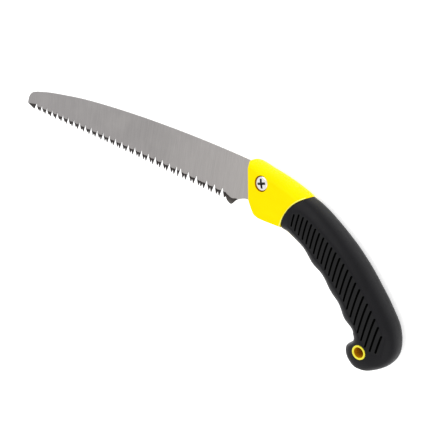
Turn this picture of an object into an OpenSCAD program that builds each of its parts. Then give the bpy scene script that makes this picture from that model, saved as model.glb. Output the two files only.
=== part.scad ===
// Folding pruning saw: a straight toothed blade that swings on a screw pivot out of a
// curved two-shell handle with a rubber grip. The saw lies on its far side.
// Pieces are drawn about the pivot: +X to the handle, +Y to the spine, +Z to the near side.

/* [Blade] */
// Distance from the pivot to the tip of the blade
blade_reach = 302; // [296:1:308]
// Thickness of the blade steel
blade_t = 1.2; // [1.0:0.1:1.4]
// Distance along the blade between two deep gullets
gullet_pitch = 8.5; // [8.4:0.05:8.6]
// Depth of the deep gullets
tooth_depth = 7.3; // [6:0.1:7.5]
// Number of evenly spaced deep gullets, after the seven uneven ones at the heel
even_gullets = 23; // [20:1:23]

/* [Handle] */
// Half of the bolster's thickness
bolster_half = 10; // [9.5:0.25:10.5]
// Exponent of the grip's rounded cross-section: 2 is an ellipse, more is squarer
grip_square = 2.6; // [2.2:0.1:3.2]
// Height of the finger waves along the belly of the grip
finger_wave = 0.7; // [0:0.1:1]
// Radius of the curved front edge of the grip
grip_front_r = 35; // [34.5:0.5:36]
// Half of the plastic core's thickness under the grip
core_half = 6.5; // [6:0.25:7]
// Rubber left over the core at the spine and the belly
rubber_edge = 3; // [2.5:0.25:3.5]

/* [Pivot and lock] */
// Angle that the blade turns from open to folded
fold_angle = 125; // [120:1:125]
// Radius of the sleeve that the blade turns on
sleeve_r = 4; // [3.8:0.1:4.2]
// Radius of the pivot screw's shank
screw_r = 2.5; // [2.4:0.1:2.5]
// Radius of the pivot screw's head
head_r = 5.2; // [4.8:0.1:5.3]
// Half of the width of the blade slot between the shells
slot_half = 1.9; // [1.85:0.05:2]

/* [Lanyard] */
// Radius of the hole for the lanyard
lanyard_r = 3.5; // [3.2:0.1:3.6]
// Outer radius of the lanyard bush
lanyard_bush_r = 4.85; // [4.7:0.05:5.1]

/* [Hidden] */
$fn = 64;

// The pivot's place over the middle of the saw's footprint
pivot_at = [89.5, 42, 11.5];

// Clearances and small thicknesses
running = 0.06;
gap = 0.3;
liner_t = 0.8;
liner_out = slot_half - 0.05;
liner_in = liner_out - liner_t;
washer_t = 0.3;
washer_r = 6.1;

// Blade edge heights, measured from the pivot
spine_keys = [[-8.5, 8.9], [-40, 9.6], [-72, 9.8], [-105, 9.3], [-141, 8.1], [-180, 5.9],
    [-222, 2.3], [-268, -4.1]];
nose_keys = [[-288, -8.2], [-295.4, -10.9], [-300.2, -15.9], [-blade_reach, -22.4]];
heel_gullets = [-42.6, -50.9, -59.2, -70.4, -79.4, -88.2, -92.7];
even_from = -101.1;
gullet_half = 0.75;
tang_r = 7.8;
tang_low = 9.5;

// Points of the blade's lower edge in front of the teeth: from the tang to the heel's
// lobe, then one short tooth beside it
heel_keys = [[-3.5, -12.7], [-7, -16], [-10, -18.8], [-15.7, -19.3], [-20, -19.9],
    [-27, -23.4], [-31.4, -28.2], [-34.2, -28.3], [-36.9, -26.9]];
heel_tooth = [[-38.4, -24.8], [-39.9, -26.3]];

// Lock leaf: it lies along this direction, this far below the pivot
leaf_angle = -26.5;
leaf_from = 4.5;
leaf_bend = 30;
leaf_end = 39;
leaf_low = 4.7;
leaf_w = 4.8;
leaf_t = 0.7;

// Handle: matching points along the spine and the belly, and half thicknesses there
back_keys = [[25.7, 3.6], [43, -1], [58, -7.9], [72.1, -16], [85.3, -25.2],
    [97.3, -35.5], [108.8, -46.6], [118.8, -58.5], [123, -72.3], [119.7, -83.5],
    [110.6, -92.1], [104.4, -94.5]];
belly_keys = [[14, -26.8], [31, -28.6], [45.6, -37.2], [58, -45], [71, -54.8],
    [81, -64.6], [90, -72.6], [92.2, -78.4], [87.8, -84.6], [89.2, -90.4],
    [94.2, -94.4], [98.2, -95.4]];
half_keys = [10.4, 11, 11.3, 11.5, 11.5, 11.5, 11.3, 11, 10.6, 10, 8, 5.5];
steps = 4;
ring_n = 16;
grip_front = [56.3, -27.1];

// The finger waves: the station where they begin, the stations to a wave, and how many
wave_from = 0.7;
wave_pitch = 1.4;
waves = 4;

lanyard_at = [101.4, -80.9];
bush_hole_r = lanyard_bush_r + 0.03;
shell_screw_at = [[50, -13], [82, -36], [111, -63]];
shell_screw_r = 1.4;
screw_well_r = 3;
rivet_r = 1;
liner_rivet_at = [[15, -4], [31, -14]];
liner_end = [30, -13.5];
liner_end_r = 6;
lock_rivet_a = [33, 37];

// Heights over the middle plane: the pivot screw's head and its spring washer rest here
head_seat = 7.5;
washer_seat = 6.4;
nut_well = 5;
nut_r = 4.6;
head_well_r = head_r + 0.5;
open_pin_at = [-6.2, 7.6];
open_pin_r = 1.2;
closed_pin_r = 1.5;
closed_pin_at = turn([-20, -20.2 - closed_pin_r - gap], fold_angle);

function turn(p, a) = [p.x * cos(a) - p.y * sin(a), p.x * sin(a) + p.y * cos(a)];
function key(k, i) = k[min(max(i, 0), len(k) - 1)];
function spline(k, t, i) =
    let (p0 = key(k, i - 1), p1 = key(k, i), p2 = key(k, i + 1), p3 = key(k, i + 2))
    0.5 * (2 * p1 + (p2 - p0) * t + (2 * p0 - 5 * p1 + 4 * p2 - p3) * t * t
        + (3 * p1 - p0 - 3 * p2 + p3) * t * t * t);
function smooth(k, n) = concat(
    [for (i = [0 : len(k) - 2], s = [0 : n - 1]) spline(k, s / n, i)], [k[len(k) - 1]]);

// How far the belly stands out at station t, with one wave for each finger
function wave(t) = t < wave_from || t > wave_from + waves * wave_pitch ? 0
    : finger_wave * sin(360 * (t - wave_from) / wave_pitch);

backs = smooth(back_keys, steps);
plain_bellies = smooth(belly_keys, steps);
bellies = [for (i = [0 : len(backs) - 1]) plain_bellies[i]
    + (plain_bellies[i] - backs[i]) * wave(i / steps) / norm(plain_bellies[i] - backs[i])];
halves = smooth(half_keys, steps);

// Height of the line of gullets: a shallow arch, lowest at the heel and the tip
function gullet_y(x) = -19 - 0.6 * pow((x + 165) / 125, 2);

// The depth of the teeth eases off a little towards the tip
function depth(x) = tooth_depth * (1 + 0.0003 * (x + 42));

gullets = concat(heel_gullets, [for (i = [0 : even_gullets - 1]) even_from - i * gullet_pitch]);

// Teeth between the gullet at x and the next one: each point is a short flat, followed
// by a dip. The first stands 2.5 mm from the gullet, the others 2.9 mm apart and shorter.
first_tip = 2.5;
tip_gap = 2.9;
tip_half = 0.3;
function tips(room) = room > 10 ? 3 : room < 6 ? 1 : 2;
function tooth(x, n) = let (at = x - first_tip - n * tip_gap, short = n == 0 ? 1 : 0.91)
    [for (side = [1, -1]) [at + side * tip_half, gullet_y(x) - short * depth(x)]];
function dip(x, n) = [x - first_tip - (n + 0.56) * tip_gap, gullet_y(x) - 0.55 * depth(x)];
function tooth_group(x, room) = concat([[x - gullet_half, gullet_y(x)]], tooth(x, 0),
    [for (n = [1 : 1 : tips(room) - 1]) each concat([dip(x, n - 1)], tooth(x, n))],
    [[x - room + gullet_half, gullet_y(x - room)]]);

teeth = concat([[gullets[0] + gullet_half, gullet_y(gullets[0])]],
    [for (i = [0 : len(gullets) - 2]) each tooth_group(gullets[i], gullets[i] - gullets[i + 1])]);
last_gullet = gullets[len(gullets) - 1];
toe = [[last_gullet - gullet_half, gullet_y(last_gullet)],
    [last_gullet - 3.4, gullet_y(last_gullet) - depth(last_gullet) + 0.3]];

module at_pivot() {
    translate(pivot_at) children();
}

module slab(low, high) {
    translate([0, 0, low]) linear_extrude(high - low) children();
}

module blade_outline() {
    tang_at = concat([for (a = [112 : -12 : -44]) tang_r * [cos(a), sin(a)]],
        [[0, -tang_low]]);
    difference() {
        polygon(concat(tang_at, heel_keys, heel_tooth, teeth, toe,
            [for (i = [3 : -1 : 0]) nose_keys[i]],
            [for (i = [7 : -1 : 0]) spine_keys[i]]));
        translate(open_pin_at) circle(r = open_pin_r + gap);
        rotate(leaf_angle) translate([leaf_from - gap, -leaf_low - leaf_w - 4])
            square([12, leaf_w + 4 + gap]);
    }
}

module blade() {
    color("silver") at_pivot() difference() {
        slab(-blade_t / 2, blade_t / 2) blade_outline();
        cylinder(h = 4, r = sleeve_r + running, center = true);
    }
}

// The space between the shells that the blade sweeps through
module slot_area() {
    web = concat([[-60, 9.4], [-9, 9.4]], [for (a = [108 : -12 : 48]) 8.5 * [cos(a), sin(a)]],
        [for (p = heel_keys) turn(p, fold_angle) + 0.9 * [0.55, 0.8]],
        [turn([-41, -27.8], fold_angle), turn([-170, -27.8], fold_angle)],
        [[60, -160], [-60, -160]]);
    polygon(web);
}

module blade_slot() {
    slab(-slot_half, slot_half) slot_area();
}

// Outline of the bolster. Its spine is rolled in by edge_in, less at the front corner,
// and its belly by half of that; its front is in by front_in at the top, less below.
module bolster_outline(front_in, edge_in) {
    belly_in = edge_in / 2;
    low_in = front_in / 3;
    polygon([[-17.2 + front_in, 9.4 - 0.6 * edge_in], [-17 + front_in, 10.7 - 0.75 * edge_in],
        [-16 + front_in, 11.4 - 0.85 * edge_in], [-2.6, 9.7 - edge_in],
        [5.7, 8.5 - edge_in], [14, 7 - edge_in], [22.3, 5.1 - edge_in],
        [30.6, 2.7 - edge_in], [45, -3.3 - edge_in], [45, -25.7 + belly_in],
        [24, -25.7 + belly_in], [5, -26.8 + belly_in], [-2.2 + low_in / 2, -26 + belly_in],
        [-6.1 + low_in, -22.9 + belly_in], [-8.2 + low_in, -19 + belly_in / 2],
        [-10.1 + low_in, -15]]);
}

// Each layer of the bolster: its height over the middle, how far its front is in, and
// how far its spine is rolled in
bolster_layers = [[0, 0, 0], [2, 0, 0.1], [5, 0, 0.65], [7.3, 1.7, 1.6], [9.1, 3, 2.9],
    [bolster_half, 3.6, 4.8]];

module bolster_half_solid() {
    hull() for (k = bolster_layers) slab(max(k.x - 0.1, 0), max(k.x, 0.1))
        bolster_outline(k.y, k.z);
}

function inset(p, q, d) = p + (q - p) * d / norm(q - p);
function between(k, i) = 0.6 * k[i] + 0.4 * k[i + 1];

// The plastic core inside the rubber, drawn between the grip's own stations
module core_outline() {
    first = 1;
    last = len(backs) - 2 * steps - 1;
    polygon(concat(
        [[20, 2]],
        [for (i = [first : last]) inset(between(backs, i), between(bellies, i), rubber_edge)],
        [for (i = [last : -1 : first]) inset(between(bellies, i), between(backs, i), rubber_edge)],
        [[18, -23]]));
}

module front_of_grip() {
    difference() {
        translate([-20, -60]) square([grip_front.x + 20, 90]);
        translate(grip_front) circle(r = grip_front_r, $fn = 96);
    }
}

module shell_half() {
    difference() {
        union() {
            difference() {
                bolster_half_solid();
                translate([grip_front.x, grip_front.y, -1])
                    cylinder(h = 14, r = grip_front_r, $fn = 96);
            }
            slab(0, core_half) core_outline();
        }
        blade_slot();
        translate([lanyard_at.x, lanyard_at.y, -1]) cylinder(h = 14, r = bush_hole_r);
        translate([open_pin_at.x, open_pin_at.y, -1]) cylinder(h = 6, r = open_pin_r);
        translate([closed_pin_at.x, closed_pin_at.y, -1]) cylinder(h = 7, r = closed_pin_r);
    }
}

module liner_rivet_holes() {
    for (p = liner_rivet_at) translate([p.x, p.y, 0]) cylinder(h = 4, r = rivet_r);
}

module near_shell() {
    color("yellow") at_pivot() difference() {
        shell_half();
        translate([0, 0, 1]) cylinder(h = 10, r = screw_r + 0.1);
        translate([0, 0, washer_seat]) cylinder(h = 5, r = head_well_r);
        liner_rivet_holes();
        for (p = shell_screw_at) translate([p.x, p.y, -1])
            cylinder(h = 6.5, r = shell_screw_r);
    }
}

module far_shell() {
    color("yellow") at_pivot() difference() {
        mirror([0, 0, 1]) shell_half();
        translate([0, 0, -11]) cylinder(h = 10, r = screw_r + 0.1);
        translate([0, 0, -11]) cylinder(h = 11 - nut_well, r = nut_r + 0.2, $fn = 6);
        mirror([0, 0, 1]) liner_rivet_holes();
        lock_rivet_row(4);
        for (p = shell_screw_at) translate([p.x, p.y, -11]) {
            cylinder(h = 12, r = shell_screw_r + 0.2);
            cylinder(h = 11 - core_half, r = screw_well_r);
        }
    }
}

// One ring of the handle: from the spine round the side to the belly
function ring(i) = [for (s = [0 : ring_n])
    let (a = 180 * s / ring_n, b = backs[i], c = bellies[i], m = (b + c) / 2,
        u = sign(cos(a)) * pow(abs(cos(a)), 2 / grip_square),
        z = halves[i] * pow(abs(sin(a)), 2 / grip_square))
    [m.x + (b.x - m.x) * u, m.y + (b.y - m.y) * u, z]];

module grip_half_solid() {
    n = ring_n + 1;
    last = len(backs) - 1;
    points = [for (i = [0 : last], p = ring(i)) p];
    sides = [for (i = [0 : last - 1], s = [0 : n - 1])
        let (t = (s + 1) % n, a = i * n + s, b = i * n + t, c = a + n, d = b + n)
        each [[a, b, c], [b, d, c]]];
    front = [for (s = [1 : n - 2]) [0, s + 1, s]];
    rear = [for (s = [1 : n - 2]) [last * n, last * n + s, last * n + s + 1]];
    polyhedron(points, concat(sides, front, rear));
}

module grip_half() {
    difference() {
        grip_half_solid();
        slab(-1, core_half) core_outline();
        slab(-1, 14) front_of_grip();
        slab(-1, slot_half) slot_area();
        translate([lanyard_at.x, lanyard_at.y, -1]) cylinder(h = 14, r = bush_hole_r);
    }
}

module near_grip() {
    color("dimgray") at_pivot() grip_half();
}

module far_grip() {
    color("dimgray") at_pivot() difference() {
        mirror([0, 0, 1]) grip_half();
        for (p = shell_screw_at) translate([p.x, p.y, -13])
            cylinder(h = 13 - core_half + gap, r = screw_well_r);
    }
}

module lanyard_bush() {
    half = 11.2;
    lip = 0.5;
    color("gold") at_pivot() translate([lanyard_at.x, lanyard_at.y, 0]) rotate_extrude()
        polygon([[lanyard_r, half - lip], [lanyard_r + lip, half], [lanyard_bush_r, half],
            [lanyard_bush_r, -half], [lanyard_r + lip, -half], [lanyard_r, lip - half]]);
}

module pivot_screw() {
    recess = 1.2;
    color("white") at_pivot() difference() {
        union() {
            translate([0, 0, -9]) cylinder(h = 9 + head_seat, r = screw_r);
            intersection() {
                translate([0, 0, head_seat]) cylinder(h = 3, r = head_r);
                translate([0, 0, -1.8]) sphere(r = 11.7, $fn = 96);
            }
        }
        for (a = [20, 110]) rotate(a) translate([-3.1, -recess / 2, 8.2])
            cube([6.2, recess, 3]);
    }
}

module pivot_nut() {
    color("white") at_pivot() difference() {
        translate([0, 0, -9]) cylinder(h = 9 - nut_well, r = nut_r, $fn = 6);
        translate([0, 0, -10]) cylinder(h = 6, r = screw_r);
    }
}

module pivot_sleeve() {
    color("silver") at_pivot() difference() {
        cylinder(h = 2 * liner_out, r = sleeve_r, center = true);
        cylinder(h = 5, r = screw_r + 0.05, center = true);
    }
}

module spring_washer() {
    color("silver") at_pivot() translate([0, 0, washer_seat]) difference() {
        cylinder(h = head_seat - washer_seat, r = 4.6);
        translate([0, 0, -1]) cylinder(h = 4, r = screw_r + 0.15);
        rotate(60) translate([0, -0.4, -1]) cube([6, 0.8, 4]);
    }
}

module washer() {
    translate([0, 0, blade_t / 2 + 0.05]) difference() {
        cylinder(h = washer_t, r = washer_r);
        translate([0, 0, -1]) cylinder(h = 3, r = sleeve_r + running);
    }
}

module near_washer() {
    color("tan") at_pivot() washer();
}

module far_washer() {
    color("tan") at_pivot() mirror([0, 0, 1]) washer();
}

// Two arcs joined by their tangents, round the pivot and round the far end
module liner_outline() {
    tilt = atan2(liner_end.y, liner_end.x);
    spread = acos((tang_r - liner_end_r) / norm(liner_end));
    polygon(concat(
        [for (i = [0 : 16]) let (a = tilt + spread + i * (360 - 2 * spread) / 16)
            tang_r * [cos(a), sin(a)]],
        [for (i = [0 : 12]) let (a = tilt - spread + i * 2 * spread / 12)
            liner_end + liner_end_r * [cos(a), sin(a)]]));
}

module liner() {
    difference() {
        slab(liner_in, liner_out) liner_outline();
        cylinder(h = 4, r = sleeve_r + 0.02);
        liner_rivet_holes();
    }
}

module near_liner() {
    color("gray") at_pivot() liner();
}

module far_liner() {
    color("gray") at_pivot() difference() {
        mirror([0, 0, 1]) liner();
        rotate(leaf_angle) translate([leaf_from - 3, -leaf_low - leaf_w - 6, -4])
            cube([50, leaf_w + 6 + gap, 8]);
    }
}

module liner_rivets() {
    color("silver") at_pivot() for (p = liner_rivet_at, side = [0, 1])
        mirror([0, 0, side]) translate([p.x, p.y, liner_in])
            cylinder(h = 4 - liner_in, r = rivet_r);
}

// The leaf is flat at its riveted root and bends in to the blade's plane at its tip
module lock_leaf() {
    root_z = -liner_out;
    tip_z = -leaf_t / 2;
    color("silver") at_pivot() difference() {
        rotate(leaf_angle) translate([0, -leaf_low, 0]) rotate([90, 0, 0])
            linear_extrude(leaf_w) polygon([[leaf_from, tip_z], [leaf_bend, root_z],
                [leaf_end, root_z], [leaf_end, root_z + leaf_t],
                [leaf_bend, root_z + leaf_t], [leaf_from, tip_z + leaf_t]]);
        lock_rivet_row(4);
    }
}

module lock_rivet_row(deep) {
    rotate(leaf_angle) for (a = lock_rivet_a)
        translate([a, -leaf_low - leaf_w / 2, -deep]) cylinder(h = deep - 1, r = rivet_r);
}

module lock_rivets() {
    color("white") at_pivot() intersection() {
        lock_rivet_row(4);
        translate([0, -50, -10]) cube([100, 100, 10 - liner_out + leaf_t]);
    }
}

module open_stop_pin() {
    color("silver") at_pivot() translate([open_pin_at.x, open_pin_at.y, 0])
        cylinder(h = 10, r = open_pin_r, center = true);
}

module closed_stop_pin() {
    color("silver") at_pivot() translate([closed_pin_at.x, closed_pin_at.y, 0])
        cylinder(h = 12, r = closed_pin_r, center = true);
}

module shell_screws() {
    color("silver") at_pivot() for (p = shell_screw_at) translate([p.x, p.y, 0]) {
        difference() {
            translate([0, 0, -8.5]) cylinder(h = 2, r = 2.8);
            for (a = [0, 90]) rotate(a) translate([-1.7, -0.3, -8.6]) cube([3.4, 0.6, 1.1]);
        }
        translate([0, 0, -7]) cylinder(h = 12, r = shell_screw_r);
    }
}

blade();
near_shell();
far_shell();
near_grip();
far_grip();
lanyard_bush();
pivot_screw();
pivot_nut();
pivot_sleeve();
spring_washer();
near_washer();
far_washer();
near_liner();
far_liner();
liner_rivets();
lock_leaf();
lock_rivets();
open_stop_pin();
closed_stop_pin();
shell_screws();
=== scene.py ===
"""Looks of the folding pruning saw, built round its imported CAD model.

Shapes are worked out in millimetres about the pivot, as in part.scad, and go to
the shared frame in metres through to_frame(): +X to the handle, +Y to the spine,
+Z to the near side. The saw lies on its far side.
"""
import math

import bmesh
import bpy
import numpy as np
from mathutils import Matrix, Vector
from mathutils.bvhtree import BVHTree


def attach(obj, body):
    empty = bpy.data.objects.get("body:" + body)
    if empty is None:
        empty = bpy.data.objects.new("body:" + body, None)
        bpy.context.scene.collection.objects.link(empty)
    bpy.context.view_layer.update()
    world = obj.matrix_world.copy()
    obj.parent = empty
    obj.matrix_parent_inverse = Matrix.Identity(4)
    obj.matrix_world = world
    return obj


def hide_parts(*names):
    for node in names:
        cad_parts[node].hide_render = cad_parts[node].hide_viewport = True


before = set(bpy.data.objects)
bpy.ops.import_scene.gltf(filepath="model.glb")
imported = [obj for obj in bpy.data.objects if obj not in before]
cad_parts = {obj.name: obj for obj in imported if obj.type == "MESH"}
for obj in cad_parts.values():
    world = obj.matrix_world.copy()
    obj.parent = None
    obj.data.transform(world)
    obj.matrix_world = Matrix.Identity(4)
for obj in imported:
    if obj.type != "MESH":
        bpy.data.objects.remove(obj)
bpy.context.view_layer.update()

MM = 0.001
PIVOT = np.array([89.5, 42.0, 11.5])

# ---------------------------------------------------------------- dimensions
BLADE_HALF = 0.6
SLOT_HALF = 1.9
FOLD = math.radians(125)
GROUND = 0.05  # half the thickness left at a ground tooth edge
TOOTH_SET = 0.12  # alternate tips lie this far to either side of the middle plane
TANG_R, BLADE_BORE_R = 7.8, 4.06
TANG_ARC = range(112, -45, -6)  # degrees round the pivot, clockwise
LEAF_ANGLE = math.radians(-26.5)
TANG_NOTCH = [(6.35, -4.4), (4.2, -4.4), (4.2, -8.55)]  # along and across the leaf

SPINE_KEYS = [(-8.5, 8.9), (-40, 9.6), (-72, 9.8), (-105, 9.3), (-141, 8.1),
              (-180, 5.9), (-222, 2.3), (-268, -4.1)]
NOSE_KEYS = [(-288, -8.2), (-295.4, -10.9), (-300.2, -15.9), (-302, -22.4)]
HEEL_KEYS = [(-3.5, -12.7), (-7, -16), (-10, -18.8), (-15.7, -19.3), (-20, -19.9),
             (-27, -23.4), (-31.4, -28.2), (-34.2, -28.3), (-36.9, -26.9)]
HEEL_TOOTH = [(-38.4, -24.8), (-39.9, -26.3)]
GULLET_PITCH, GULLET_HALF, TOOTH_DEPTH = 8.5, 0.75, 7.3
GULLETS = [-42.6, -50.9, -59.2, -70.4, -79.4, -88.2, -92.7]
GULLETS += [-101.1 - i * GULLET_PITCH for i in range(23)]
FIRST_TIP, TIP_GAP, TIP_HALF = 2.5, 2.9, 0.3
GROUND_FROM = 2.2  # the ground zone begins this far below the gullets
LOBE_FROM = -26  # the heel's ground lobe begins here

BACK_KEYS = [(25.7, 3.6), (43, -1), (58, -7.9), (72.1, -16), (85.3, -25.2),
             (97.3, -35.5), (108.8, -46.6), (118.8, -58.5), (123, -72.3),
             (119.7, -83.5), (110.6, -92.1), (104.4, -94.5)]
BELLY_KEYS = [(14, -26.8), (31, -28.6), (45.6, -37.2), (58, -45), (71, -54.8),
              (81, -64.6), (90, -72.6), (92.2, -78.4), (87.8, -84.6),
              (89.2, -90.4), (94.2, -94.4), (98.2, -95.4)]
WAVE, WAVE_FROM, WAVE_PITCH, WAVES = 0.7, 0.7, 1.4, 4
HALF_KEYS = [10.4, 11, 11.3, 11.5, 11.5, 11.5, 11.3, 11, 10.6, 10, 8, 5.5]
GRIP_SQUARE = 2.6
BOLSTER_HALF, BOLSTER_ROLL, BOLSTER_FRONT_ROLL = 10.0, 4.8, 3.6
GRIP_FRONT, GRIP_FRONT_R = (56.3, -27.1), 35.0
GRIP_GAP, ARC_ROUND_R = 0.35, 0.6  # black gap and rounded rim along the grip's arc
ARC_FROM, ARC_STEP, ARC_STEPS = 100, 0.6, 161  # the rim's run, in degrees
CORE_HALF, RUBBER_EDGE = 6.5, 3.0

GROOVES, GROOVE_X, GROOVE_PITCH, GROOVE_LEAN = 23, 31.7, 3.69, 0.085
GROOVE_TOPS = [(32, -10.4), (36, -8.9), (44, -10.8), (58, -17.2), (70, -23.7),
               (81, -31.4), (92, -40.4), (103, -50.8), (110, -58.6), (113.5, -63.5)]
GROOVE_ENDS = [(31, -19.7), (35, -22), (43, -25.5), (50, -28.9), (61, -35.2),
               (72, -43), (83, -52.2), (93, -63.2), (100.6, -71.5), (104.5, -74.9),
               (108, -77), (112, -76)]
GROOVE_DEPTH, GROOVE_HALF = 1.7, 0.7
PANEL_DEPTH, PANEL_MARGIN, PANEL_FROM, PANEL_TO = 0.3, 1.6, 29.0, 116.0

LANYARD_AT, BUSH_R, LANYARD_R = (101.4, -80.9), 4.85, 3.5
SHELL_SCREW_AT = [(50, -13), (82, -36), (111, -63)]
OPEN_PIN_AT, OPEN_PIN_R, CLOSED_PIN_R = (-6.2, 7.6), 1.2, 1.5
LINER_RIVET_AT = [(15, -4), (31, -14)]
SCREW_R, HEAD_R, HEAD_WELL_R = 2.5, 5.2, 5.7
HEAD_SEAT, WASHER_SEAT, SCREW_END = 7.5, 6.4, -9.0
DOME_R, DOME_TOP, RIM_R = 25, 9.9, 4.7
NUT_WELL_R, NUT_WELL_FLOOR = 4.8, -5
SHELL_WELL_R, THREAD_R, SHANK_R, RIVET_R = 3.0, 1.4, 1.6, 1.0
PAST = 20  # a height safely past every surface


# ------------------------------------------------------------------- helpers
def to_frame(points):
    """Millimetres about the pivot to metres in the shared frame."""
    return (np.asarray(points, float) + PIVOT) * MM


def turned(p, angle=FOLD):
    """A point after the blade has folded, or after another turn about the pivot."""
    c, s = math.cos(angle), math.sin(angle)
    return (p[0] * c - p[1] * s, p[0] * s + p[1] * c)


def spline(keys, steps):
    """Catmull-Rom through keys, as part.scad does it."""
    k = np.asarray(keys, float)
    out = []
    for i in range(len(k) - 1):
        p0, p1, p2 = k[max(i - 1, 0)], k[i], k[i + 1]
        p3 = k[min(i + 2, len(k) - 1)]
        for s in range(steps):
            t = s / steps
            out.append(0.5 * (2 * p1 + (p2 - p0) * t + (2 * p0 - 5 * p1 + 4 * p2 - p3) * t * t
                              + (3 * p1 - p0 - 3 * p2 + p3) * t ** 3))
    out.append(k[-1])
    return np.array(out)


def handle_lines(steps):
    """Matching points down the spine and the belly, with a wave for each finger."""
    backs, bellies = spline(BACK_KEYS, steps), spline(BELLY_KEYS, steps)
    t = np.arange(len(backs)) / steps - WAVE_FROM
    wave = WAVE * np.sin(2 * math.pi * t / WAVE_PITCH) * ((t > 0) & (t < WAVES * WAVE_PITCH))
    arms = bellies - backs
    return backs, bellies + arms * (wave / np.linalg.norm(arms, axis=1))[:, None]


def smoothstep(a, b, x):
    """A soft step from 0 at a to 1 at b."""
    t = np.clip((x - a) / (b - a), 0, 1)
    return t * t * (3 - 2 * t)


def new_object(name, verts, faces, materials=()):
    mesh = bpy.data.meshes.new(name)
    mesh.from_pydata([tuple(v) for v in to_frame(verts)], [], [tuple(f) for f in faces])
    mesh.update()
    for m in materials:
        mesh.materials.append(m)
    obj = bpy.data.objects.new(name, mesh)
    bpy.context.scene.collection.objects.link(obj)
    return obj


def outward(obj):
    """Merges doubled vertices and turns all faces outwards."""
    bm = bmesh.new()
    bm.from_mesh(obj.data)
    bmesh.ops.remove_doubles(bm, verts=bm.verts, dist=1e-7)
    bmesh.ops.recalc_face_normals(bm, faces=bm.faces)
    bm.to_mesh(obj.data)
    bm.free()
    return obj


def prism(name, outline, low, high):
    """A closed slab with this outline."""
    n = len(outline)
    verts = [(x, y, low) for x, y in outline] + [(x, y, high) for x, y in outline]
    faces = [list(range(n))[::-1], list(range(n, 2 * n))]
    faces += [[i, (i + 1) % n, n + (i + 1) % n, n + i] for i in range(n)]
    return outward(new_object(name, verts, faces))


def circle(at, r, n=96):
    return [(at[0] + r * math.cos(2 * math.pi * i / n),
             at[1] + r * math.sin(2 * math.pi * i / n)) for i in range(n)]


def rod(name, at, r, low, high, n=96):
    return prism(name, circle(at, r, n), low, high)


def lathe(name, at, profile, n=96):
    """A closed form of revolution about Z through at. A profile point on the axis makes a pole."""
    verts, rings = [], []
    for r, z in profile:
        if r < 1e-6:
            rings.append([len(verts)])
            verts.append((at[0], at[1], z))
        else:
            rings.append(list(range(len(verts), len(verts) + n)))
            verts += [(x, y, z) for x, y in circle(at, r, n)]
    closed = len(rings[0]) > 1
    faces = []
    pairs = list(zip(rings, rings[1:])) + ([(rings[-1], rings[0])] if closed else [])
    for a, b in pairs:
        for i in range(n):
            j = (i + 1) % n
            if len(a) == 1:
                faces.append([a[0], b[i], b[j]])
            elif len(b) == 1:
                faces.append([a[i], b[0], a[j]])
            else:
                faces.append([a[i], b[i], b[j], a[j]])
    return outward(new_object(name, verts, faces))


def cut(obj, tools, operation="DIFFERENCE"):
    """Applies booleans to obj and deletes the tools."""
    for tool in tools:
        m = obj.modifiers.new("cut", "BOOLEAN")
        m.operation = operation
        m.solver = "MANIFOLD"
        m.object = tool
        bpy.context.view_layer.update()
        made = bpy.data.meshes.new_from_object(
            obj.evaluated_get(bpy.context.evaluated_depsgraph_get()))
        obj.modifiers.clear()
        obj.data = made
        bpy.data.objects.remove(tool)


def shade(obj, angle):
    """Smooth faces with crisp edges where they turn by more than angle degrees."""
    for p in obj.data.polygons:
        p.use_smooth = True
    obj.data.set_sharp_from_angle(angle=math.radians(angle))


def weigh(obj):
    """Keeps large flat faces flat beside small rounded ones."""
    m = obj.modifiers.new("weighted_normals", "WEIGHTED_NORMAL")
    m.keep_sharp = True


def dress(obj, materials, index=0):
    """Gives obj these materials and all its faces the one at index."""
    for m in materials:
        obj.data.materials.append(m)
    for p in obj.data.polygons:
        p.material_index = index
    return obj


def place(obj, body, slot, *nodes):
    """Hands a finished piece over in place of these CAD nodes."""
    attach(obj, body)
    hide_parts(*nodes)


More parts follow.
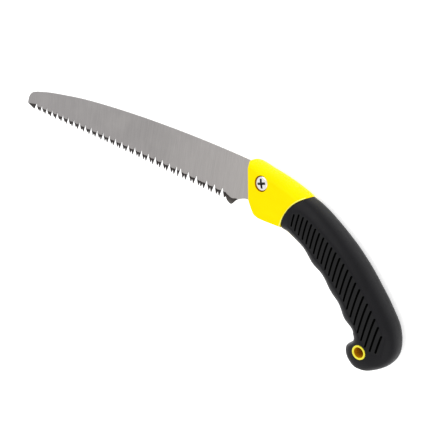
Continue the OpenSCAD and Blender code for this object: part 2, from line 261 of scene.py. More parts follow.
# ----------------------------------------------------------------- materials
class Nodes:
    """A short way to build a material's nodes."""

    def __init__(self, name, **fixed):
        self.material = bpy.data.materials.new(name)
        self.material.use_nodes = True
        self.tree = self.material.node_tree
        self.shader = self.tree.nodes["Principled BSDF"]
        for socket, value in fixed.items():
            self.shader.inputs[socket.replace("_", " ")].default_value = value
        self.place = self.tree.nodes.new("ShaderNodeTexCoord").outputs["Object"]

    def add(self, kind, links=None, **values):
        node = self.tree.nodes.new("ShaderNode" + kind)
        for k, v in values.items():
            setattr(node, k, v)
        for socket, value in (links or {}).items():
            if isinstance(value, bpy.types.NodeSocket):
                self.tree.links.new(value, node.inputs[socket])
            else:
                node.inputs[socket].default_value = value
        return node

    def noise(self, scale, stretch=(1, 1, 1), detail=3.0, rough=0.5, turn=0.0):
        at = self.add("Mapping", {"Vector": self.place, "Scale": stretch,
                                  "Rotation": (0, 0, turn)}).outputs["Vector"]
        return self.add("TexNoise", {"Vector": at, "Scale": scale, "Detail": detail,
                                     "Roughness": rough}).outputs["Fac"]

    def ramp(self, value, stops):
        node = self.add("ValToRGB", {"Fac": value})
        ramp = node.color_ramp
        while len(ramp.elements) < len(stops):
            ramp.elements.new(0.5)
        for e, (pos, colour) in zip(ramp.elements, stops):
            e.position = pos
            e.color = (*colour, 1)
        return node.outputs["Color"]

    def blend(self, factor, a, b, kind="MIX"):
        node = self.add("Mix", data_type="RGBA", blend_type=kind)
        for i, v in ((0, factor), (6, a), (7, b)):
            if isinstance(v, bpy.types.NodeSocket):
                self.tree.links.new(v, node.inputs[i])
            else:
                node.inputs[i].default_value = v if i == 0 else (*v, 1)
        return node.outputs[2]

    def span(self, value, low, high, from_low=0.3, from_high=0.7):
        return self.add("MapRange", {"Value": value, "From Min": from_low,
                                     "From Max": from_high, "To Min": low,
                                     "To Max": high}).outputs["Result"]

    def sum(self, *values):
        total = values[0]
        for v in values[1:]:
            node = self.add("Math", {0: total, 1: v}, operation="ADD")
            total = node.outputs[0]
        return total

    def finish(self, colour, rough, height, strength, distance=0.0002):
        self.tree.links.new(colour, self.shader.inputs["Base Color"])
        self.tree.links.new(rough, self.shader.inputs["Roughness"])
        bump = self.add("Bump", {"Height": height, "Strength": strength, "Distance": distance})
        self.tree.links.new(bump.outputs["Normal"], self.shader.inputs["Normal"])
        return self.material


def steel(name, dark, light, rough=(0.3, 0.42), grain=(1, 1, 1), scale=900, bump=0.08):
    """Bare or plated metal with a fine grain and soft stains."""
    n = Nodes(name, Metallic=1.0)
    fine = n.noise(scale, grain, 4, 0.6)
    stain = n.noise(90, detail=3)
    colour = n.blend(n.span(stain, 0.0, 0.5), n.ramp(fine, [(0.3, dark), (0.7, light)]), light)
    return n.finish(colour, n.span(fine, *rough), n.sum(fine, stain), bump)


def blade_finish(name, painted_shade_by=1.0):
    """Cross-ground steel with painted light, a little lighter towards the heel; a factor below 1
    makes a darker copy that paints shade.
    """
    n = Nodes(name, Metallic=0.9)
    lines = n.noise(1, (3400, 60, 300), 3, 0.6, 0.06)
    broad = n.noise(1, (700, 40, 60), 3, 0.5, -0.05)
    cloud = n.noise(38, detail=4, rough=0.55)
    along = n.add("SeparateXYZ", {"Vector": n.place}).outputs["X"]
    # Painted light along the blade: a little darker around the middle, lighter towards the heel.
    painted_light_tones = [(0.0, (0.41, 0.392, 0.39)), (0.6, (0.395, 0.377, 0.372)),
             (1.0, (0.505, 0.48, 0.467))]
    base = n.ramp(n.span(along, 0.0, 1.0, -0.2, 0.08),
                  [(at, tuple(painted_shade_by * c for c in tone)) for at, tone in painted_light_tones])
    base = n.blend(n.span(lines, 0.0, 1.0, 0.35, 0.65), base, (0.87, 0.87, 0.87), "MULTIPLY")
    base = n.blend(n.span(broad, 0.0, 0.6), base, (0.95, 0.95, 0.95), "MULTIPLY")
    base = n.blend(n.span(cloud, 0.0, 0.22, 0.45, 0.75), base,
                   tuple(painted_shade_by * c for c in (0.56, 0.535, 0.52)))
    return n.finish(base, n.span(lines, 0.4, 0.52), n.sum(lines, broad), 0.14, 0.0001)


def tooth_finish():
    """Impulse-hardened teeth: burnt nearly black, with painted shade darkest along the top of the
    ground zone, and paler again at their points.
    """
    n = Nodes("hardened_tooth", Metallic=0.5)
    grind = n.noise(1, (900, 2600, 900), 3, 0.6, 0.5)
    tint = n.noise(260, detail=3)
    height = n.add("SeparateXYZ", {"Vector": n.place}).outputs["Y"]
    # Painted shade by height: darkest along the top of the ground zone, paler towards the points.
    colour = n.ramp(n.span(height, 0.0, 1.0, 0.0135, 0.0205),
                    [(0.0, (0.13, 0.125, 0.11)), (0.45, (0.052, 0.045, 0.04)),
                     (0.8, (0.012, 0.009, 0.009)), (1.0, (0.016, 0.010, 0.011))])
    colour = n.blend(n.span(tint, 0.0, 0.35), colour, (0.03, 0.02, 0.019))
    colour = n.blend(n.span(grind, 0.0, 0.2), colour, (0.10, 0.09, 0.082))
    return n.finish(colour, n.span(grind, 0.4, 0.55), grind, 0.15, 0.0001)


def plastic(name, deep, bright, rough=(0.24, 0.34), level=0.3):
    """Glossy moulded plastic: even colour with a faint flow pattern and orange peel."""
    n = Nodes(name, Specular_IOR_Level=level, IOR=1.49)
    flow = n.noise(70, (1, 2.2, 1), 3)
    speck = n.noise(1400, detail=2)
    peel = n.noise(650, detail=2)
    colour = n.ramp(flow, [(0.3, deep), (0.7, bright)])
    colour = n.blend(n.span(speck, 0.0, 0.12, 0.5, 0.75), colour, bright)
    return n.finish(colour, n.span(peel, *rough), n.sum(peel, speck), 0.05, 0.0001)


def rubber(name, low, high, level, rough):
    """Moulded rubber with fine pores, mottling and slight wear."""
    n = Nodes(name, Specular_IOR_Level=level)
    pore = n.noise(2100, detail=3, rough=0.6)
    mottle = n.noise(210, detail=4)
    wear = n.noise(34, detail=3)
    colour = n.ramp(pore, [(0.3, low), (0.7, high)])
    colour = n.blend(n.span(mottle, 0.0, 0.5), colour, tuple(0.9 * c for c in high))
    colour = n.blend(n.span(wear, 0.0, 0.35, 0.5, 0.8), colour, tuple(1.4 * c for c in high))
    return n.finish(colour, n.span(mottle, *rough), n.sum(pore, mottle), 0.22, 0.00012)


BLADE_STEEL = blade_finish("blade_steel")
# A darker copy of the blade steel: painted shade on the blade's spine, edges and holes.
SHADED_EDGE_STEEL = blade_finish("blade_edge_painted_shade", 0.62)
TOOTH = tooth_finish()
YELLOW = plastic("yellow_plastic", (0.93, 0.70, 0.0001), (0.95, 0.735, 0.0002), level=0.02)
# A darker orange copy of the yellow: painted shade for the screw head's well and the lanyard hole.
WELL_SHADE_PLASTIC = plastic("shaded_plastic", (0.5, 0.21, 0.0004), (0.62, 0.27, 0.0006), level=0.15)
# A paler yellow for the lanyard ring: partly its own plastic, partly a painted highlight for its
# bright rim.
BUSH_YELLOW_AND_HIGHLIGHT = plastic("yellow_bush", (0.82, 0.72, 0.03), (0.9, 0.82, 0.05), (0.2, 0.3))
# A glossier, paler yellow for the rounded rim along the grip's arc; the paler colour is a painted
# highlight.
GLOSS_HIGHLIGHT_YELLOW = plastic("glossy_edge_painted_highlight", (0.95, 0.90, 0.10), (0.97, 0.93, 0.16), (0.15, 0.22), 0.4)
SHELL_MATERIALS = (YELLOW, WELL_SHADE_PLASTIC, GLOSS_HIGHLIGHT_YELLOW)
RUBBER = rubber("black_rubber", (0.0026, 0.0025, 0.0034), (0.0064, 0.0061, 0.0078), 0.17,
                (0.38, 0.5))
RIB_RUBBER = rubber("rib_rubber", (0.005, 0.005, 0.0054), (0.0115, 0.0113, 0.012), 0.15,
                    (0.5, 0.65))
# Near-black rubber for the grooves: painted shade in them.
GROOVE_SHADE_RUBBER = rubber("groove_painted_shade_rubber", (0.001, 0.001, 0.001), (0.002, 0.002, 0.0021), 0.03,
                       (0.7, 0.85))
GRIP_MATERIALS = (RUBBER, RIB_RUBBER, GROOVE_SHADE_RUBBER)
ZINC = steel("bright_zinc", (0.90, 0.88, 0.85), (0.99, 0.98, 0.96), (0.1, 0.2), scale=700,
             bump=0.04)
# Near-black steel for the screw's cross recess: painted shade in it.
RECESS_SHADE_STEEL = steel("screw_recess_painted_shade", (0.03, 0.027, 0.025), (0.08, 0.075, 0.07), (0.35, 0.5))
PLAIN_STEEL = steel("plain_steel", (0.36, 0.355, 0.35), (0.5, 0.49, 0.48))
BRONZE = steel("bronze", (0.42, 0.25, 0.11), (0.62, 0.40, 0.19), (0.25, 0.4))
LINER_STEEL = steel("liner_steel", (0.38, 0.38, 0.385), (0.52, 0.52, 0.525), (0.3, 0.45),
                    (8, 1, 1))
SPRING_STEEL = steel("spring_steel", (0.20, 0.19, 0.19), (0.33, 0.315, 0.31), (0.25, 0.4),
                     (1, 8, 1))
DARK_SCREW = steel("dark_screw", (0.035, 0.035, 0.038), (0.085, 0.083, 0.085), (0.35, 0.5))


# --------------------------------------------------------------------- blade
def gullet_y(x):
    return -19 - 0.6 * ((x + 165) / 125) ** 2


def tooth_depth(x):
    """The teeth are a little shorter towards the toe."""
    return TOOTH_DEPTH * (1 + 0.0003 * (x + 42))


def at_height(p, q, y):
    """The point between p and q at this height."""
    f = (y - p[1]) / (q[1] - p[1])
    return (p[0] + f * (q[0] - p[0]), y)


class Plate:
    """The blade's two flat faces, its edges, and the bevels ground along the teeth."""

    def __init__(self):
        self.verts, self.faces, self.mats = [], [], []
        self.edge, self.rim = [], []  # pairs of near and far vertices, in outline order

    def pair(self, x, y, near, far):
        self.verts += [(x, y, near), (x, y, far)]
        return len(self.verts) - 2, len(self.verts) - 1

    def plain(self, x, y):
        self.edge.append(self.pair(x, y, BLADE_HALF, -BLADE_HALF))
        self.rim.append(self.edge[-1])
        return self.edge[-1]

    def sharp(self, x, y, set_out=0.0):
        self.edge.append(self.pair(x, y, set_out + GROUND, set_out - GROUND))
        return self.edge[-1]

    def back(self, x, y):
        self.rim.append(self.pair(x, y, BLADE_HALF, -BLADE_HALF))
        return self.rim[-1]

    def bevel(self, *pairs):
        self.faces += [[p[0] for p in pairs], [p[1] for p in reversed(pairs)]]
        self.mats += [1, 1]

    def tooth_row(self, points, line, last_edge):
        """Bevels from last_edge down over points, each with its own place on the line above."""
        before_edge = before_top = last_edge
        for (x, y, out), (tx, ty) in zip(points, line):
            tip, top = self.sharp(x, y, out), self.back(tx, ty)
            if before_edge is before_top:
                self.bevel(before_edge, tip, top)
            else:
                self.bevel(before_top, before_edge, tip, top)
            before_edge, before_top = tip, top
        return before_edge, before_top

    def close(self):
        n = len(self.edge)
        on_rim = {r[0] for r in self.rim}
        for i in range(n):
            a, b = self.edge[i], self.edge[(i + 1) % n]
            self.faces.append([a[0], a[1], b[1], b[0]])
            # Plain rim edges take the darker edge steel, which is painted shade; ground edges take
            # the tooth finish.
            self.mats.append(2 if a[0] in on_rim and b[0] in on_rim else 1)
        self.faces += [[r[0] for r in self.rim][::-1], [r[1] for r in self.rim]]
        self.mats += [0, 0]


def blade_plate():
    plate = Plate()
    for a in TANG_ARC:
        plate.plain(TANG_R * math.cos(math.radians(a)), TANG_R * math.sin(math.radians(a)))
    # The tang's notch, which the lock leaf bears on
    for corner in TANG_NOTCH:
        plate.plain(*turned(corner, LEAF_ANGLE))
    heel = [tuple(p) for p in spline(HEEL_KEYS, 5)]
    split = next(i for i, p in enumerate(heel) if p[0] < LOBE_FROM)
    for x, y in heel[:split]:
        plate.plain(x, y)
    # The heel's lobe is ground in a crescent, and the short tooth beside it with it
    lobe = [(x, y, 0.0) for x, y in heel[split:]]
    crescent = [(x, y + 0.12 + max(0.0, -22.4 - y - 1.3 * math.sin(
        math.pi * smoothstep(-38, LOBE_FROM, x)))) for x, y, _ in lobe]
    lobe += [(*HEEL_TOOTH[0], 0.0), (*HEEL_TOOTH[1], 0.1)]
    crescent += [(-38.3, -21.4), (-39.6, -21.6)]
    tip, top = plate.tooth_row(lobe, crescent, plate.edge[-1])
    gullet = (GULLETS[0] + GULLET_HALF, gullet_y(GULLETS[0]))
    end = plate.plain(*at_height(HEEL_TOOTH[1], gullet, gullet[1] - GROUND_FROM + 0.2))
    plate.bevel(top, tip, end)
    plate.plain(*gullet)

    for number, (x, following) in enumerate(zip(GULLETS, GULLETS[1:])):
        room, y, depth = x - following, gullet_y(x), tooth_depth(x)
        count = 3 if room > 10 else 1 if room < 6 else 2
        fade = smoothstep(-150, -250, x)  # the second points wear away towards the tip
        points = []
        for k in range(count):
            out = TOOTH_SET if (number + k) % 2 else -TOOTH_SET
            low = y - (1.0 if k == 0 else 0.91 - 0.08 * fade) * depth
            at = x - FIRST_TIP - k * TIP_GAP
            points += [(at + TIP_HALF, low, out), (at - TIP_HALF, low + 0.1, out)]
            if k < count - 1:
                points.append((at - 0.56 * TIP_GAP, y - (0.55 + 0.2 * fade) * depth, 0.0))
        line = [(px, y - GROUND_FROM - (0.35 if i % 3 == 2 else 0.0))
                for i, (px, _, _) in enumerate(points)]
        near, far = (x - GULLET_HALF, y), (following + GULLET_HALF, gullet_y(following))
        plate.plain(*near)
        begin = plate.plain(*at_height(near, points[0], y - GROUND_FROM + 0.1))
        tip, top = plate.tooth_row(points, line, begin)
        end = plate.plain(*at_height(points[-1][:2], far, far[1] - GROUND_FROM + 0.1))
        plate.bevel(top, tip, end)
        plate.plain(*far)

    # The toe: one long ground lens under the tip
    x = GULLETS[-1]
    y = gullet_y(x)
    nose = [tuple(q) for q in spline(NOSE_KEYS, 4)][::-1]
    point = (x - 3.4, y - tooth_depth(x) + 0.3)
    plate.plain(x - GULLET_HALF, y)
    begin = plate.plain(*at_height((x - GULLET_HALF, y), point, y - 0.9))
    tip, top = plate.tooth_row([(*point, 0.0)], [(x - 4.6, y - 1.6)], begin)
    end = plate.plain(*nose[0])
    plate.bevel(top, tip, end)
    for x, y in nose[1:] + [tuple(q) for q in spline(SPINE_KEYS, 4)][::-1]:
        plate.plain(x, y)
    plate.close()
    return plate


BLADE_MATERIALS = (BLADE_STEEL, TOOTH, SHADED_EDGE_STEEL)
plate = blade_plate()
blade = new_object("saw_blade", plate.verts, plate.faces, BLADE_MATERIALS)
for poly, m in zip(blade.data.polygons, plate.mats):
    poly.material_index = m
bm = bmesh.new()
bm.from_mesh(blade.data)
bmesh.ops.recalc_face_normals(bm, faces=bm.faces)
bmesh.ops.triangulate(bm, faces=[f for f in bm.faces if len(f.verts) > 4])
bm.to_mesh(blade.data)
bm.free()
# The bore and the pin notch take the darker edge steel: painted shade.
cut(blade, [dress(rod("bore", (0, 0), BLADE_BORE_R, -3, 3), BLADE_MATERIALS, 2),
            dress(rod("pin_notch", OPEN_PIN_AT, OPEN_PIN_R + 0.3, -3, 3, 48),
                  BLADE_MATERIALS, 2)])
shade(blade, 12)
place(blade, "blade", "blade_steel", "blade")


# --------------------------------------------------------------------- grips
def grip_solid(name, side, inset=0.0):
    """Half of the rubber's outer form on one side, or the same form inset all over."""
    steps, around = 24, 84
    backs, bellies = handle_lines(steps)
    halves = spline([[h] for h in HALF_KEYS], steps)[:, 0]
    fine = np.linspace(0, math.pi, 721)
    cu = np.sign(np.cos(fine)) * np.abs(np.cos(fine)) ** (2 / GRIP_SQUARE)
    cz = np.abs(np.sin(fine)) ** (2 / GRIP_SQUARE)
    cz[0] = cz[-1] = 0
    grid = np.zeros((len(backs), around + 1, 3))
    for i, (b, c, h) in enumerate(zip(backs, bellies, halves)):
        mid, arm = (b + c) / 2, (b - c) / 2
        pts = np.stack([mid[0] + arm[0] * cu, mid[1] + arm[1] * cu, h * cz], 1)
        run = np.concatenate([[0], np.cumsum(np.linalg.norm(np.diff(pts, axis=0), axis=1))])
        at = np.linspace(0, run[-1], around + 1)
        grid[i] = np.stack([np.interp(at, run, pts[:, k]) for k in range(3)], 1)
    along = np.gradient(grid, axis=0)
    across = np.gradient(grid, axis=1)
    normal = np.cross(across, along)
    normal /= np.maximum(np.linalg.norm(normal, axis=2, keepdims=True), 1e-9)
    if normal[len(backs) // 2, around // 2, 2] < 0:
        normal = -normal
    x, y, z = grid[..., 0], grid[..., 1], grid[..., 2]
    # The panel round the grooves lies a little lower than the rest
    rim = np.maximum(y - np.interp(x, *np.array(GROOVE_TOPS).T) - PANEL_MARGIN,
                     np.interp(x, *np.array(GROOVE_ENDS).T) - PANEL_MARGIN - y)
    rim = np.maximum(rim, np.maximum(PANEL_FROM - x, x - PANEL_TO))
    panel = (1 - smoothstep(-0.5, 0.7, rim)) * smoothstep(3.0, 6.0, z)
    grid = grid - normal * (inset + PANEL_DEPTH * panel)[..., None]
    grid[..., 2] *= side
    rows, cols = grid.shape[:2]
    faces = []
    for i in range(rows - 1):
        for j in range(cols - 1):
            a = i * cols + j
            faces.append([a, a + 1, a + cols + 1, a + cols])
        faces.append([i * cols + cols - 1, i * cols, (i + 1) * cols, (i + 1) * cols + cols - 1])
    faces.append(list(range(cols))[::-1])
    faces.append(list(range((rows - 1) * cols, rows * cols)))
    return dress(outward(new_object(name, grid.reshape(-1, 3), faces)), GRIP_MATERIALS)


def groove_outline(x):
    """A slot with round ends, leaning about its own middle, at this place on the handle."""
    top = np.interp(x, *np.array(GROOVE_TOPS).T) - GROOVE_HALF
    low = np.interp(x, *np.array(GROOVE_ENDS).T) + GROOVE_HALF
    points = []
    for y, start in ((top, 0.0), (low, math.pi)):
        for k in range(9):
            a = start + math.pi * k / 8
            cy = y + GROOVE_HALF * math.sin(a)
            points.append((x + GROOVE_LEAN * (cy - (top + low) / 2)
                           + GROOVE_HALF * math.cos(a), cy))
    return points


def groove_cutter(side):
    """All the grooves as one tool that reaches to the same depth under the curved surface."""
    low, high = sorted((side * 2, side * 14))
    tool = prism("grooves", groove_outline(GROOVE_X), low, high)
    others = [prism("groove", groove_outline(GROOVE_X + k * GROOVE_PITCH), low, high)
              for k in range(1, GROOVES)]
    cut(tool, others, "UNION")
    cut(tool, [grip_solid("groove_floor", side, GROOVE_DEPTH)])
    tool.data.materials.clear()
    # The groove walls and floors take the near-black groove rubber: painted shade.
    return dress(tool, GRIP_MATERIALS, 2)


def slot_outline():
    """Where the blade lies or passes: open, folded, and the way between."""
    web = [(-60, 9.4), (-9, 9.4)]
    web += [(8.5 * math.cos(math.radians(a)), 8.5 * math.sin(math.radians(a)))
            for a in range(108, 47, -6)]
    for p in HEEL_KEYS:
        q = turned(p)
        web.append((q[0] + 0.495, q[1] + 0.72))
    web += [turned((-41, -27.8)), turned((-170, -27.8)), (60, -160), (-60, -160)]
    return web


def core_outline(extra=0.0):
    """The shell's core under the rubber, wider by extra."""
    steps = 4
    backs, bellies = handle_lines(steps)
    first, last = 1, len(backs) - 2 * steps - 1

    def between(k, i):
        return 0.6 * k[i] + 0.4 * k[i + 1]

    def inset(p, q):
        return tuple(p + (q - p) * (RUBBER_EDGE - extra) / np.linalg.norm(q - p))

    run = range(first, last + 1)
    return ([(20, 2)] + [inset(between(backs, i), between(bellies, i)) for i in run]
            + [inset(between(bellies, i), between(backs, i)) for i in reversed(run)]
            + [(18, -23)])


def front_region(gap):
    """Everything in front of the grip's arc, moved back by gap."""
    pts = [(-30, 40), (-30, -70), (GRIP_FRONT[0], -70)]
    r = GRIP_FRONT_R - gap
    for i in range(129):
        a = -math.pi / 2 - math.pi * i / 128
        pts.append((GRIP_FRONT[0] + r * math.cos(a), GRIP_FRONT[1] + r * math.sin(a)))
    pts += [(GRIP_FRONT[0], 40)]
    return pts


def mark_ribs(grip):
    """Gives the ribs between the grooves their own, duller rubber."""
    tops, ends = np.array(GROOVE_TOPS).T, np.array(GROOVE_ENDS).T
    for p in grip.data.polygons:
        x, y, z = np.array(p.center) / MM - PIVOT
        inside = 30 < x < 114.5 and np.interp(x, *ends) - 0.4 < y < np.interp(x, *tops) + 0.4
        if p.material_index == 0 and inside and abs(z) > 5 and abs(p.normal.z) > 0.4:
            p.material_index = 1


for side, word in ((1, "near"), (-1, "far")):
    grip = grip_solid(word + "_rubber_grip", side)
    tools = [groove_cutter(side), prism("front", front_region(GRIP_GAP), -PAST, PAST),
             prism("slot", slot_outline(), -SLOT_HALF, SLOT_HALF),
             rod("bush_hole", LANYARD_AT, BUSH_R + 0.12, -PAST, PAST, 128),
             prism("core", core_outline(), *sorted((-side, side * CORE_HALF)))]
    if side < 0:
        tools += [rod("well", p, SHELL_WELL_R, -PAST, -CORE_HALF + 0.2, 64)
                  for p in SHELL_SCREW_AT]
    cut(grip, tools)
    mark_ribs(grip)
    shade(grip, 38)
    place(grip, "handle", "black_rubber", word + "_grip")


# -------------------------------------------------------------------- shells
def bolster_points(front_in, edge_in):
    """The bolster's outline, drawn in at its front and along its edge."""
    f, e, b, low = front_in, edge_in, edge_in / 2, front_in / 3
    return [(-17.2 + f, 9.4 - 0.6 * e), (-17 + f, 10.7 - 0.75 * e), (-16 + f, 11.4 - 0.85 * e),
            (-2.6, 9.7 - e), (5.7, 8.5 - e), (14, 7 - e), (22.3, 5.1 - e),
            (30.6, 2.7 - e), (45, -3.3 - e), (45, -25.7 + b), (24, -25.7 + b),
            (5, -26.8 + b), (-2.2 + low / 2, -26 + b), (-6.1 + low, -22.9 + b),
            (-8.2 + low, -19 + b / 2), (-10.1 + low, -15)]


def rounded(points, steps, sharp=()):
    """A closed Catmull-Rom line through points that keeps the corners in sharp."""
    k = np.asarray(points, float)
    n = len(k)
    out = []
    for i in range(n):
        p1, p2 = k[i], k[(i + 1) % n]
        p0 = k[i - 1] if i not in sharp else p1
        p3 = k[(i + 2) % n] if (i + 1) % n not in sharp else p2
        for s in range(steps):
            t = s / steps
            # Centripetal weights keep short and long sides from overshooting
            d0, d1, d2 = (max(np.linalg.norm(v), 1e-6) ** 0.5
                          for v in (p1 - p0, p2 - p1, p3 - p2))
            m1 = (p2 - p0) / (d0 + d1) * d1 if i not in sharp else (p2 - p1)
            m2 = (p3 - p1) / (d1 + d2) * d1 if (i + 1) % n not in sharp else (p2 - p1)
            h = t * t * (3 - 2 * t)
            out.append((1 - h) * p1 + h * p2 + (t ** 3 - 2 * t * t + t) * m1
                       + (t ** 3 - t * t) * m2)
    return np.array(out)


def bolster_solid(name, side):
    """The bolster: a flat face that rolls over into the spine in one smooth curve."""
    layers = []
    for i in range(19):
        a = math.pi / 2 * i / 18
        z = BOLSTER_HALF * math.sin(a)
        edge_in = BOLSTER_ROLL * (1 - math.cos(a))
        front_in = BOLSTER_FRONT_ROLL * max(0.0, 2 * z / BOLSTER_HALF - 1)
        layers.append([(x, y, side * z) for x, y in
                       rounded(bolster_points(front_in, edge_in), 6, (0, 8, 9, 15))])
    n = len(layers[0])
    verts = [v for layer in layers for v in layer]
    faces = [list(range(n))[::-1], list(range((len(layers) - 1) * n, len(layers) * n))]
    for r in range(len(layers) - 1):
        for i in range(n):
            j = (i + 1) % n
            faces.append([r * n + i, r * n + j, (r + 1) * n + j, (r + 1) * n + i])
    return outward(new_object(name, verts, faces))


def arc_edge(shell, side):
    """A strip that rounds the bolster's edge where it meets the grip, all along the arc."""
    tree = BVHTree.FromObject(shell, bpy.context.evaluated_depsgraph_get())
    round_r, down = ARC_ROUND_R, Vector((0, 0, -side))

    def height(rho, a):
        start = to_frame((GRIP_FRONT[0] + rho * math.cos(a), GRIP_FRONT[1] + rho * math.sin(a),
                          side * 40))
        hit = tree.ray_cast(Vector(start), down)[0]
        return None if hit is None else side * (hit[2] / MM - PIVOT[2])

    rings = []
    for i in range(ARC_STEPS):
        a = math.radians(ARC_FROM + i * ARC_STEP)
        tall = [height(GRIP_FRONT_R + d, a) for d in (0.02, 0.3, round_r, round_r + 0.2)]
        if None in tall or min(tall) < 2.5:
            continue
        section = [(GRIP_FRONT_R + round_r + 0.2, tall[3] + 0.04)]
        for k in range(5):
            turn = math.pi / 2 * k / 4
            off = round_r * (1 - math.sin(turn))
            z = np.interp(off, (0, 0.3, round_r), tall[:3])
            section.append((GRIP_FRONT_R + off, z - round_r * (1 - math.cos(turn))))
        section += [(GRIP_FRONT_R - 0.5, section[-1][1]), (GRIP_FRONT_R - 0.5, max(tall) + 1),
                    (GRIP_FRONT_R + round_r + 0.2, max(tall) + 1)]
        rings.append([(GRIP_FRONT[0] + r * math.cos(a), GRIP_FRONT[1] + r * math.sin(a),
                       side * z) for r, z in section])
    n = len(rings[0])
    faces = [list(range(n)), list(range((len(rings) - 1) * n, len(rings) * n))[::-1]]
    for r in range(len(rings) - 1):
        for i in range(n):
            j = (i + 1) % n
            faces.append([r * n + i, (r + 1) * n + i, (r + 1) * n + j, r * n + j])
    strip = outward(new_object("arc_edge", [v for ring in rings for v in ring], faces))
    # The rounded rim takes the glossier edge plastic, whose paler colour paints a highlight.
    return dress(strip, SHELL_MATERIALS, 2)


for side, word in ((1, "near"), (-1, "far")):
    shell = dress(bolster_solid(word + "_shell_body", side), SHELL_MATERIALS)
    cut(shell, [rod("arc", GRIP_FRONT, GRIP_FRONT_R, *sorted((-side, side * PAST)), 384)])
    cut(shell, [arc_edge(shell, side)])
    core = prism("core", core_outline(0.02), *sorted((0, side * CORE_HALF)))
    cut(shell, [core], "UNION")
    closed_pin = turned((-20, -20.2 - CLOSED_PIN_R - 0.3))
    tools = [prism("slot", slot_outline(), -SLOT_HALF, SLOT_HALF),
             rod("bush_hole", LANYARD_AT, BUSH_R + 0.02, -PAST, PAST),
             rod("open_pin", OPEN_PIN_AT, OPEN_PIN_R, *sorted((-side, side * 5))),
             rod("closed_pin", closed_pin, CLOSED_PIN_R, *sorted((-side, side * 6))),
             rod("bore", (0, 0), SCREW_R + 0.1, *sorted((-side, side * PAST)))]
    tools += [rod("rivet", p, RIVET_R, *sorted((0, side * 4)), 48) for p in LINER_RIVET_AT]
    if side > 0:
        # The well round the screw head takes the darker orange plastic: painted shade.
        tools.append(dress(rod("head_well", (0, 0), HEAD_WELL_R, WASHER_SEAT, PAST, 128),
                           SHELL_MATERIALS, 1))
        tools += [rod("screw_hole", p, THREAD_R, -1, 5.5, 48) for p in SHELL_SCREW_AT]
    else:
        tools.append(prism("nut_well", circle((0, 0), NUT_WELL_R, 6), -PAST, NUT_WELL_FLOOR))
        tools += [rod("screw_hole", p, SHANK_R, -PAST, 1, 48) for p in SHELL_SCREW_AT]
        tools += [rod("screw_well", p, SHELL_WELL_R, -PAST, -CORE_HALF + 0.001, 48)
                  for p in SHELL_SCREW_AT]
    cut(shell, tools)
    shade(shell, 32)
    weigh(shell)
    place(shell, "handle", "yellow_plastic", word + "_shell")


# --------------------------------------------------------- bush and pivot screw
def both_ends(points):
    """A profile and its mirror image in the middle plane."""
    return [(r, z) for r, z in points] + [(r, -z) for r, z in reversed(points)]


bush = lathe("lanyard_ring", LANYARD_AT, both_ends(
    [(LANYARD_R, 9.0), (LANYARD_R, 10.5), (3.56, 10.75), (3.72, 10.96), (3.95, 11.12),
     (4.18, 11.19), (4.4, 11.19), (4.6, 11.1), (4.76, 10.92), (BUSH_R, 10.66), (BUSH_R, 9.0)]), 96)
dress(bush, [BUSH_YELLOW_AND_HIGHLIGHT, WELL_SHADE_PLASTIC])
# The hole's inner wall takes the darker orange plastic: painted shade down the hole.
for p in bush.data.polygons:
    x, y = (np.array(p.center) / MM - PIVOT)[:2] - LANYARD_AT
    p.material_index = int(math.hypot(x, y) < LANYARD_R + 0.02)
shade(bush, 50)
place(bush, "handle", "yellow_bush", "lanyard_bush")


def dome(r):
    """Height of the screw's flat dome at this radius."""
    return DOME_TOP - DOME_R + math.sqrt(DOME_R ** 2 - r * r)


head = [(0, dome(0))] + [(r, dome(r)) for r in (0.6, 1.3, 2.0, 2.7, 3.3, 3.9, 4.4, RIM_R)]
head += [(HEAD_R - 0.28, dome(RIM_R) - 0.12), (HEAD_R - 0.12, dome(RIM_R) - 0.3),
         (HEAD_R - 0.02, dome(RIM_R) - 0.55), (HEAD_R, 8.1), (HEAD_R, 7.62),
         (HEAD_R - 0.12, HEAD_SEAT), (SCREW_R, HEAD_SEAT), (SCREW_R, SCREW_END + 0.4),
         (SCREW_R - 0.4, SCREW_END), (0, SCREW_END)]
SCREW_MATERIALS = (ZINC, RECESS_SHADE_STEEL)
screw = dress(lathe("pivot_screw_body", (0, 0), head, 128), SCREW_MATERIALS)


def cross_cutter(angle):
    """One arm pair of the recess: a bar that narrows and shortens as it goes down."""
    verts = []
    for z, long, half in CROSS_SECTIONS:
        for corner in ((-long, -half), (long, -half), (long, half), (-long, half)):
            verts.append((*turned(corner, angle), z))
    faces = [[3, 2, 1, 0], [4, 5, 6, 7]]
    faces += [[i, (i + 1) % 4, 4 + (i + 1) % 4, 4 + i] for i in range(4)]
    # Its faces give the recess the near-black steel: painted shade.
    return dress(outward(new_object("cross", verts, faces)), SCREW_MATERIALS, 1)


CROSS = math.radians(20)
CROSS_SECTIONS = [(7.6, 1.6, 0.55), (10.4, 4.1, 0.95)]  # height, half length, half width
cut(screw, [cross_cutter(CROSS), cross_cutter(CROSS + math.pi / 2)])
shade(screw, 30)
place(screw, "handle", "bright_zinc", "pivot_screw")


# --------------------------------------------- CAD nodes that stay as they are
KEPT = {"pivot_nut": ZINC, "pivot_sleeve": PLAIN_STEEL, "spring_washer": SPRING_STEEL,
        "near_washer": BRONZE, "far_washer": BRONZE, "near_liner": LINER_STEEL,
        "far_liner": LINER_STEEL, "liner_rivets": PLAIN_STEEL, "lock_leaf": SPRING_STEEL,
        "lock_rivets": ZINC, "open_stop_pin": PLAIN_STEEL, "closed_stop_pin": PLAIN_STEEL,
        "shell_screws": DARK_SCREW}
for node, material in KEPT.items():
    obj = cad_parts[node]
    obj.data.materials.clear()
    obj.data.materials.append(material)
    soft = obj.modifiers.new("worn_edges", "BEVEL")
    soft.width = 0.00008
    soft.segments = 2
    soft.limit_method = "ANGLE"
    soft.angle_limit = math.radians(50)


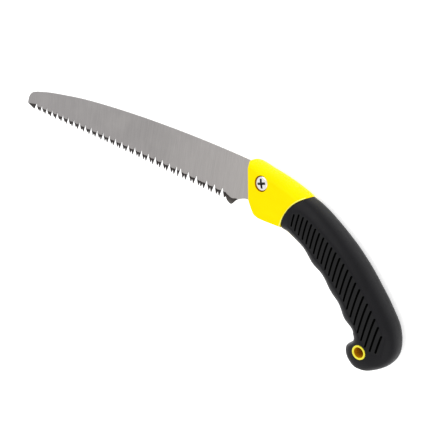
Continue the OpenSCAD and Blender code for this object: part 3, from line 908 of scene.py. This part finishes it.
# --------------------------------------------------- floor, lights and camera
def floor_finish():
    """Matt white paper, lit a little from within so that it stays pale."""
    n = Nodes("floor_paper", Specular_IOR_Level=0.1)
    n.tree.links.new(n.ramp(n.noise(6, detail=2), [(0.3, (0.93, 0.93, 0.93)),
                                                  (0.7, (0.95, 0.95, 0.95))]),
                     n.shader.inputs["Base Color"])
    n.shader.inputs["Roughness"].default_value = 0.9
    n.shader.inputs["Emission Color"].default_value = (1, 1, 1, 1)
    n.shader.inputs["Emission Strength"].default_value = 0.5
    return n.material


bpy.ops.mesh.primitive_plane_add(size=8, location=(0, 0, 0))
floor = bpy.context.object
floor.name = "floor"
floor.data.materials.append(floor_finish())

world = bpy.data.worlds.new("studio")
bpy.context.scene.world = world
world.use_nodes = True
world.node_tree.nodes["Background"].inputs["Color"].default_value = (1, 1, 1, 1)
world.node_tree.nodes["Background"].inputs["Strength"].default_value = 0.85


def soft_light(name, at, size, power):
    """A square lamp aimed at the origin."""
    light = bpy.data.lights.new(name, "AREA")
    light.shape = "RECTANGLE"
    light.size = light.size_y = size
    light.energy = power
    obj = bpy.data.objects.new(name, light)
    obj.location = at
    obj.rotation_euler = (-Vector(at)).to_track_quat("-Z", "Y").to_euler()
    bpy.context.scene.collection.objects.link(obj)


soft_light("key", (-0.35, 0.9, 1.1), 1.4, 8)
soft_light("fill", (0.9, -0.5, 1.2), 1.4, 4)

EYE = (0.3844, 0.2043, 0.4012)
RIGHT, UP = (0.70957, 0.13444, -0.6917), (-0.34872, 0.91999, -0.1789)
BACK = (0.61229, 0.36816, 0.6997)
SENSOR, FOCAL_RATIO = 36, 736.6 / 430
lens = bpy.data.cameras.new("camera")
lens.sensor_width = SENSOR
lens.lens = FOCAL_RATIO * SENSOR
lens.clip_start = 0.01
camera = bpy.data.objects.new("camera", lens)
turn = Matrix((RIGHT, UP, BACK)).transposed().to_4x4()
camera.matrix_world = Matrix.Translation(EYE) @ turn
bpy.context.scene.collection.objects.link(camera)
bpy.context.scene.camera = camera
bpy.context.scene.view_settings.view_transform = "Standard"
